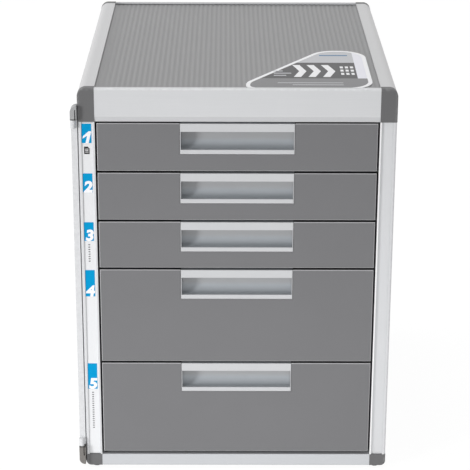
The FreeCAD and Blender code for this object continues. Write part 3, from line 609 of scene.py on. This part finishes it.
# %% Tab and figure sizes
LOW_TAB = 19.0 * MM
TALL_TAB = 27.4 * MM
TAB_HEIGHTS = {"1": LOW_TAB, "2": LOW_TAB, "3": LOW_TAB, "4": TALL_TAB, "5": TALL_TAB}
TAB_DROP = 0.5 * MM
TAB_INSET = 0.5 * MM
TAB_WIDTH = 9.2 * MM
TAB_THICKNESS = 0.25 * MM
TAB_CORNER = 0.4 * MM
TAB_RIM = 0.06 * MM
FIGURE_HEIGHT = 11.6 * MM
FIGURE_THICKNESS = 0.12 * MM
FIGURE_STRETCH = 1.05
FIGURE_SLOPE = 0.12
FIGURE_BOLDNESS = 0.045
ONE = [(0.26, 0.0), (0.5, 0.0), (0.72, 1.0), (0.52, 1.0), (0.08, 0.6), (0.03, 0.38), (0.4, 0.62)]


# %% Figures
def drawn_one():
    """The figure 1 as a sloping stem with a long flag, one unit high and one thick."""
    sheet = bmesh.new()
    plate(sheet, ONE, 1.0, Matrix.Identity(4))
    bmesh.ops.recalc_face_normals(sheet, faces=sheet.faces)
    solid = bpy.data.meshes.new("one")
    sheet.to_mesh(solid)
    sheet.free()
    return solid


def figure_mesh(text):
    """A bold sloping figure as a mesh, in the font's own units and one of them thick."""
    curve = bpy.data.curves.new("figure", "FONT")
    curve.body = text
    curve.shear = FIGURE_SLOPE
    curve.offset = FIGURE_BOLDNESS
    curve.extrude = 0.5
    figure = bpy.data.objects.new("figure", curve)
    bpy.context.scene.collection.objects.link(figure)
    solid = bpy.data.meshes.new_from_object(figure.evaluated_get(bpy.context.evaluated_depsgraph_get()))
    bpy.data.objects.remove(figure)
    return solid


def add_figure(sheet, text, place, colour):
    """Set a figure on a plate: place's origin is the figure's lower right corner."""
    solid = drawn_one() if text == "1" else figure_mesh(text)
    low, high = corners([vertex.co for vertex in solid.vertices])
    size = high - low
    growth = FIGURE_HEIGHT / size.y
    scale = Matrix.Diagonal((growth * FIGURE_STRETCH, growth, FIGURE_THICKNESS / size.z, 1.0))
    solid.transform(place @ scale @ Matrix.Translation((-high.x, -low.y, -low.z)))
    for face in solid.polygons:
        face.material_index = colour
    first = len(sheet.verts)
    sheet.from_mesh(solid)
    sheet.verts.ensure_lookup_table()
    bmesh.ops.remove_doubles(sheet, verts=sheet.verts[first:], dist=WELD)


# %% Tabs
tab_blue = film("tab_blue", (0, 152, 208))
tab_left = strip_low.x + TAB_INSET
tab_right = tab_left + TAB_WIDTH
on_strip = Matrix(((1, 0, 0, 0), (0, 0, -1, strip_low.y), (0, 1, 0, 0), (0, 0, 0, 1)))


def tab_ends(number):
    """The levels of a drawer's tab at its foot and at its top."""
    top = min(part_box("drawer_front_" + number)[1].z, strip_high.z) - TAB_DROP
    return top - TAB_HEIGHTS[number], top


for number in DRAWERS:
    foot, top = tab_ends(number)
    sheet = bmesh.new()
    outline = rounded_outline((tab_left, foot), (tab_right, top), TAB_CORNER)
    plate(sheet, outline, TAB_THICKNESS, on_strip, rim=TAB_RIM)
    add_figure(sheet, number, on_strip @ Matrix.Translation((tab_right, foot, TAB_THICKNESS)), 1)
    piece("index_tab_" + number, sheet, [tab_blue, white_film], "frame")

# %% [markdown]
# ## Marks on the strip
#
# The strip also carries small dark marks between its tabs. Their lettering isn't copied: a
# plain sheet with a turned-down corner stands below the first tab, and short dashes run down
# the strip below the third and the fifth. They are plates too, thin as printed ink on film,
# so that they have the same place on the strip from every side.

# %% Mark sizes
MARK_THICKNESS = 0.05 * MM
MARK_GAP = 3.5 * MM
PAGE_WIDTH = 5.2 * MM
PAGE_HEIGHT = 7.4 * MM
PAGE_FOLD = 1.8 * MM
LINE_SHARES = (0.3, 0.5, 0.7)
LINE_LENGTH = 3.12 * MM
LINE_HEIGHT = 0.5 * MM
DASH_WIDTH = 1.8 * MM
DASH_HEIGHT = 1.1 * MM
DASH_PITCH = 2.4 * MM
DASHES = {"3": 8, "5": 17}
mark_dark = film("mark_dark", (52, 52, 54))
mark_grey = film("mark_grey", (118, 118, 120))
strip_middle = tab_left + TAB_WIDTH / 2


def centred(width, low, high):
    """A rectangle on the strip's middle line."""
    return rectangle(strip_middle - width / 2, strip_middle + width / 2, low, high)


# %% Page and dashes
sheet = bmesh.new()
top = tab_ends("1")[0] - MARK_GAP
left = strip_middle - PAGE_WIDTH / 2
right = strip_middle + PAGE_WIDTH / 2
foot = top - PAGE_HEIGHT
page = [(left, foot), (right, foot), (right, top - PAGE_FOLD), (right - PAGE_FOLD, top), (left, top)]
plate(sheet, page, MARK_THICKNESS, on_strip)
on_page = on_strip @ Matrix.Translation((0, 0, MARK_THICKNESS))
for share in LINE_SHARES:
    high = top - PAGE_HEIGHT * share
    plate(sheet, centred(LINE_LENGTH, high - LINE_HEIGHT, high), MARK_THICKNESS, on_page, 1)
piece("sheet_mark", sheet, [mark_dark, white_film], "frame")
for number, count in DASHES.items():
    sheet = bmesh.new()
    first = tab_ends(number)[0] - MARK_GAP
    for step in range(count):
        high = first - step * DASH_PITCH
        plate(sheet, centred(DASH_WIDTH, high - DASH_HEIGHT, high), MARK_THICKNESS, on_strip)
    piece("strip_dashes_" + number, sheet, [mark_grey], "frame")

# %% [markdown]
# ## Label
#
# The label on the top is a white film with a print. A picture could carry the print, but
# plates keep sharp edges at any distance. The print starts from the film's own outline, drawn
# in by the width of the white border and cut into bands, so it follows the film's round
# corners. On the bands lies a plain design of chevrons, bars and blocks.

# %% Label sizes, from the film's front edge and its right edge
BORDER = 4.0 * MM
PRINT_THICKNESS = 0.03 * MM
DARK_BAND_START = 37.0 * MM
LIGHT_BAND_START = 95.0 * MM
SIDE_BAND_WIDTH = 9.0 * MM
FACING_UP = 0.99
label_low, label_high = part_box("top_label")
prints = {
    "print_grey": film("print_grey", (127, 127, 129)),
    "print_dark": film("print_dark", (68, 68, 70)),
    "print_light": film("print_light", (196, 197, 201)),
    "print_lilac": film("print_lilac", (238, 238, 246)),
    "print_white": film("print_white", (248, 248, 250)),
    "print_blue": film("print_blue", (84, 126, 162)),
}
print_order = list(prints)
dark_low = label_low.y + DARK_BAND_START
light_low = label_low.y + LIGHT_BAND_START
side_left = label_high.x - BORDER - SIDE_BAND_WIDTH

# %% The film's outline, drawn in
sheet = bmesh.new()
sheet.from_mesh(nodes["top_label"].data)
bmesh.ops.remove_doubles(sheet, verts=sheet.verts, dist=WELD)
lower = [face for face in sheet.faces if face.normal.z < FACING_UP]
bmesh.ops.delete(sheet, geom=lower, context="FACES")
bmesh.ops.dissolve_faces(sheet, faces=sheet.faces)
border = bmesh.ops.inset_region(
    sheet, faces=sheet.faces, thickness=BORDER, use_even_offset=True, use_boundary=True
)
bmesh.ops.delete(sheet, geom=border["faces"], context="FACES")
print("drawn-in outline with", len(sheet.verts), "corners")

# %% Bands
cuts = [((0, dark_low, 0), (0, 1, 0)), ((0, light_low, 0), (0, 1, 0)), ((side_left, 0, 0), (1, 0, 0))]
for spot, normal in cuts:
    everything = [*sheet.verts, *sheet.edges, *sheet.faces]
    bmesh.ops.bisect_plane(sheet, geom=everything, plane_co=spot, plane_no=normal)
for face in sheet.faces:
    spot = face.calc_center_median()
    if spot.x > side_left and spot.y > dark_low:
        band = "print_lilac"
    elif spot.y > light_low:
        band = "print_light"
    else:
        band = "print_dark" if spot.y > dark_low else "print_grey"
    face.material_index = print_order.index(band)
print(len(sheet.faces), "bands")
bmesh.ops.solidify(sheet, geom=sheet.faces, thickness=-PRINT_THICKNESS)

# %% Motif sizes, in millimetres from the label's front left corner
CHEVRON_STARTS = (46, 60, 74)
CHEVRON_WIDTH = 7
CHEVRON_POINT = 6
CHEVRON_LEVELS = (42, 63, 86)
BAR_LEFT = 27
BAR_LENGTHS = (12, 17, 9)
BAR_START = 46
BAR_HEIGHT = 3
BAR_PITCH = 8
BLOCK_COLUMNS = (92, 97, 102)
BLOCK_ROWS = (50, 62, 74)
BLOCK_WIDTH = 3
BLOCK_HEIGHT = 7
BLUE_BAR = (74, 102, 121, 125)
LONG_BARS = ((30, 92, 20, 22), (44, 92, 13, 15))
on_label = Matrix.Translation((label_low.x, label_low.y, label_high.z + PRINT_THICKNESS))


def motif(outline, colour):
    """Print a shape whose spots are in millimetres."""
    spots = [(across * MM, up * MM) for across, up in outline]
    plate(sheet, spots, PRINT_THICKNESS, on_label, print_order.index(colour))


# %% Motifs
low, middle, high = CHEVRON_LEVELS
for left in CHEVRON_STARTS:
    right = left + CHEVRON_WIDTH
    lower_half = [(left, low), (right, low), (right + CHEVRON_POINT, middle)]
    motif([*lower_half, (right, high), (left, high), (left + CHEVRON_POINT, middle)], "print_white")
for row, length in enumerate(BAR_LENGTHS):
    low = BAR_START + row * BAR_PITCH
    motif(rectangle(BAR_LEFT, BAR_LEFT + length, low, low + BAR_HEIGHT), "print_light")
for left in BLOCK_COLUMNS:
    for low in BLOCK_ROWS:
        motif(rectangle(left, left + BLOCK_WIDTH, low, low + BLOCK_HEIGHT), "print_white")
motif(rectangle(*BLUE_BAR), "print_blue")
for sides in LONG_BARS:
    motif(rectangle(*sides), "print_light")
piece("label_print", sheet, prints.values(), "frame")

# %% [markdown]
# ## Screws
#
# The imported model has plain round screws. Here each is a pan head with a cross recess. A head
# could be stacked up from cylinders, but a spun outline gives the crown its round shoulder in
# one step, and a Boolean cuts the cross out of it. Each node's screws are replaced by one
# piece with a screw at each of their places.

# %% Screw sizes
HEAD_RADIUS = 2.8 * MM
HEAD_HEIGHT = 1.8 * MM
RIM_SHARE = 0.35
CROWN_STEPS = 8
SPIN_STEPS = 32
SHANK_RADIUS = 1.5 * MM
TIP_SHARE = 0.45
RECESS_REACH = 1.7 * MM
RECESS_WIDTH = 0.55 * MM
RECESS_DEPTH = 1.0 * MM
RECESS_FLOOR_SHARE = 0.6


# %% One screw
def spun_screw(length):
    """A screw with its seat at 0 and its head above, without its recess."""
    section = [(0, -length), (SHANK_RADIUS * TIP_SHARE, -length), (SHANK_RADIUS, -length + SHANK_RADIUS)]
    section += [(SHANK_RADIUS, 0), (HEAD_RADIUS, 0)]
    for step in range(CROWN_STEPS + 1):
        angle = math.pi / 2 * step / CROWN_STEPS
        crown = RIM_SHARE + (1 - RIM_SHARE) * math.sin(angle)
        section.append((HEAD_RADIUS * math.cos(angle) ** 0.5, HEAD_HEIGHT * crown))
    sheet = bmesh.new()
    line = [sheet.verts.new((radius, 0, height)) for radius, height in section]
    for start, end in zip(line, line[1:]):
        sheet.edges.new((start, end))
    bmesh.ops.spin(
        sheet,
        geom=[*sheet.verts, *sheet.edges],
        axis=(0, 0, 1),
        cent=(0, 0, 0),
        angle=2 * math.pi,
        steps=SPIN_STEPS,
        use_merge=True,
    )
    bmesh.ops.remove_doubles(sheet, verts=sheet.verts, dist=WELD)
    bmesh.ops.recalc_face_normals(sheet, faces=sheet.faces)
    return sheet


def cross_cutter():
    """Two crossed bars that narrow downwards."""
    half = RECESS_WIDTH / 2
    arm = [(RECESS_REACH, -half), (RECESS_REACH, half), (half, half)]
    outline = []
    for quarter in range(4):
        outline += arm
        arm = [(-up, across) for across, up in arm]
    sheet = bmesh.new()
    plate(sheet, outline, RECESS_DEPTH * 2, Matrix.Translation((0, 0, HEAD_HEIGHT - RECESS_DEPTH)))
    for vertex in sheet.verts:
        if vertex.co.z < HEAD_HEIGHT:
            vertex.co.x *= RECESS_FLOOR_SHARE
            vertex.co.y *= RECESS_FLOOR_SHARE
    bmesh.ops.recalc_face_normals(sheet, faces=sheet.faces)
    return sheet


def recessed_screw(length):
    """A screw's mesh, with the cross cut out of its head."""
    blank = in_scene("blank", spun_screw(length))
    cutter = in_scene("cutter", cross_cutter())
    cut = blank.modifiers.new("recess", "BOOLEAN")
    cut.operation = "DIFFERENCE"
    cut.solver = "EXACT"
    cut.object = cutter
    mesh = bpy.data.meshes.new_from_object(blank.evaluated_get(bpy.context.evaluated_depsgraph_get()))
    bpy.data.objects.remove(blank)
    bpy.data.objects.remove(cutter)
    return mesh


# %% The places of a node's screws
def solids_of(name):
    """The low and the high corner of each separate solid of a node."""
    sheet = bmesh.new()
    sheet.from_mesh(nodes[name].data)
    bmesh.ops.remove_doubles(sheet, verts=sheet.verts, dist=WELD)
    seen = set()
    boxes = []
    for start in sheet.verts:
        if start in seen:
            continue
        seen.add(start)
        waiting = [start]
        spots = []
        while waiting:
            vertex = waiting.pop()
            spots.append(vertex.co.copy())
            neighbours = {edge.other_vert(vertex) for edge in vertex.link_edges} - seen
            seen |= neighbours
            waiting += neighbours
        boxes.append(corners(spots))
    sheet.free()
    return boxes


def replace_screws(name, body, head_side):
    """Replace a node's screws: head_side gives the way to a head from the screw's middle."""
    sheet = bmesh.new()
    for low, high in solids_of(name):
        middle = (low + high) / 2
        outward = Vector(head_side(middle))
        half_length = abs((high - low).dot(outward)) / 2
        seat = middle + outward * (half_length - HEAD_HEIGHT)
        solid = recessed_screw(2 * half_length - HEAD_HEIGHT)
        solid.transform(Matrix.Translation(seat) @ outward.to_track_quat("Z", "Y").to_matrix().to_4x4())
        sheet.from_mesh(solid)
    made = piece(name + "_real", sheet, [zinc], body)
    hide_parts(name)


# %% All screws
replace_screws("bracket_screws", "frame", lambda middle: (-1, 0, 0))
replace_screws("guide_screws", "frame", lambda middle: (1, 0, 0) if middle.x < 0 else (-1, 0, 0))
for number in DRAWERS:
    replace_screws("drawer_screws_" + number, "drawer_" + number, lambda middle: (0, 1, 0))

# %% [markdown]
# ## Floor and sky
#
# The cabinet stands in a white room. More light on a plain floor would make it white but
# would wash the cabinet out too. So the floor is a white sheet that glows only for rays that
# see it directly, and stays white up to the object's soft shadow. The sky is white for the
# same rays, while it lights the cabinet at its own level.

# %% Floor
FLOOR_REACH = 6.0
DIRECT_SHARE = 0.9
FLOOR_GLOW = 1.05
FLOOR_SEEN = shade(255, 255, 255)
FLOOR_BOUNCE = shade(190, 190, 190)


def floor_material():
    finish = Finish("floor_white", Roughness=0.9, Specular_IOR_Level=0.0)
    direct = finish.seen_directly()
    finish.set("Base Color", finish.between(direct, FLOOR_BOUNCE, FLOOR_SEEN))
    glow = finish.node("Emission", {}, {"Strength": FLOOR_GLOW})
    lit = Field(finish, finish.shader.outputs[0])
    mixed = finish.node("MixShader", {}, {0: direct * DIRECT_SHARE, 1: lit, 2: glow})
    finish.join(finish.tree.nodes["Material Output"].inputs["Surface"], mixed)
    return finish.material


floor_sheet = bmesh.new()
bmesh.ops.create_grid(floor_sheet, x_segments=1, y_segments=1, size=FLOOR_REACH)
floor = in_scene("floor", floor_sheet)
floor.data.materials.append(floor_material())
print("floor reaches", FLOOR_REACH, "m each way")

# %% Sky
SKY_LEVEL = 0.5
world = bpy.data.worlds.new("studio")
world.use_nodes = True
bpy.context.scene.world = world
sky = Network(world.node_tree)
light = sky.node("Background", {}, {"Color": (1, 1, 1, 1), "Strength": SKY_LEVEL})
white = sky.node("Background", {}, {"Color": (1, 1, 1, 1), "Strength": 1.0})
both = sky.node("MixShader", {}, {0: sky.seen_directly(), 1: light, 2: white})
sky.join(world.node_tree.nodes["World Output"].inputs["Surface"], both)
print("sky lights at", SKY_LEVEL)

# %% [markdown]
# ## Lamps
#
# A soft key stands low on the left, so that the left end of each scoop lies in shade; one
# high above would light the scoops evenly and flatten them. A small lamp near the floor in
# front is the bounce of a white table, which lights the lower drawers more than the upper
# ones. A third lamp hangs over the top.


# %% Lamps
def lamp(name, spot, aim, width, height, watts, cone=180.0):
    data = bpy.data.lights.new(name, "AREA")
    data.shape = "RECTANGLE"
    data.size = width
    data.size_y = height
    data.energy = watts
    data.spread = math.radians(cone)
    made = bpy.data.objects.new(name, data)
    bpy.context.scene.collection.objects.link(made)
    made.location = spot
    made.rotation_mode = "QUATERNION"
    made.rotation_quaternion = (Vector(aim) - Vector(spot)).to_track_quat("-Z", "Y")
    made.visible_camera = False
    made.visible_glossy = False
    print(name, "lamp of", watts, "watts")


lamp("key", spot=(-2.33, -2.07, 0.7), aim=(0, -0.18, 0.2), width=0.6, height=0.6, watts=47)
lamp("bounce", spot=(0.0, -1.6, 0.05), aim=(0, -0.18, 0.0), width=0.6, height=0.1, watts=0.55, cone=45)
lamp("overhead", spot=(-0.7, 0.1, 2.5), aim=(0, 0, 0.4), width=1.2, height=1.2, watts=16.5)

# %% [markdown]
# ## Camera
#
# The camera stands under two metres in front of the cabinet and looks down a little. It could
# be placed by eye, but its place, turn and focal length come from fitting the frame's corners
# and the drawer gaps to the photograph, so the edges fall where they do there.

# %% Camera
PICTURE_WIDTH = 470
FOCAL_PIXELS = 1799.5
SENSOR_WIDTH = 36.0
NEAREST = 0.05
CAMERA_SPOT = Vector((-11.5, -1797.0, 847.7)) * MM
PITCH, YAW, ROLL = (math.radians(angle) for angle in (20.288, 0.341, 0.245))
ahead = Vector((math.sin(YAW) * math.cos(PITCH), math.cos(YAW) * math.cos(PITCH), -math.sin(PITCH)))
level = Vector((math.cos(YAW), -math.sin(YAW), 0))
upright = level.cross(ahead)
right = level * math.cos(ROLL) + upright * math.sin(ROLL)
up = upright * math.cos(ROLL) - level * math.sin(ROLL)
turn = Matrix((right, up, -ahead)).transposed()
camera_data = bpy.data.cameras.new("camera")
camera_data.sensor_width = SENSOR_WIDTH
camera_data.lens = FOCAL_PIXELS / PICTURE_WIDTH * SENSOR_WIDTH
camera_data.clip_start = NEAREST
camera = bpy.data.objects.new("camera", camera_data)
bpy.context.scene.collection.objects.link(camera)
camera.matrix_world = Matrix.Translation(CAMERA_SPOT) @ turn.to_4x4()
bpy.context.scene.camera = camera
bpy.context.scene.view_settings.view_transform = "Standard"
print("lens of", round(camera_data.lens, 1), "mm")
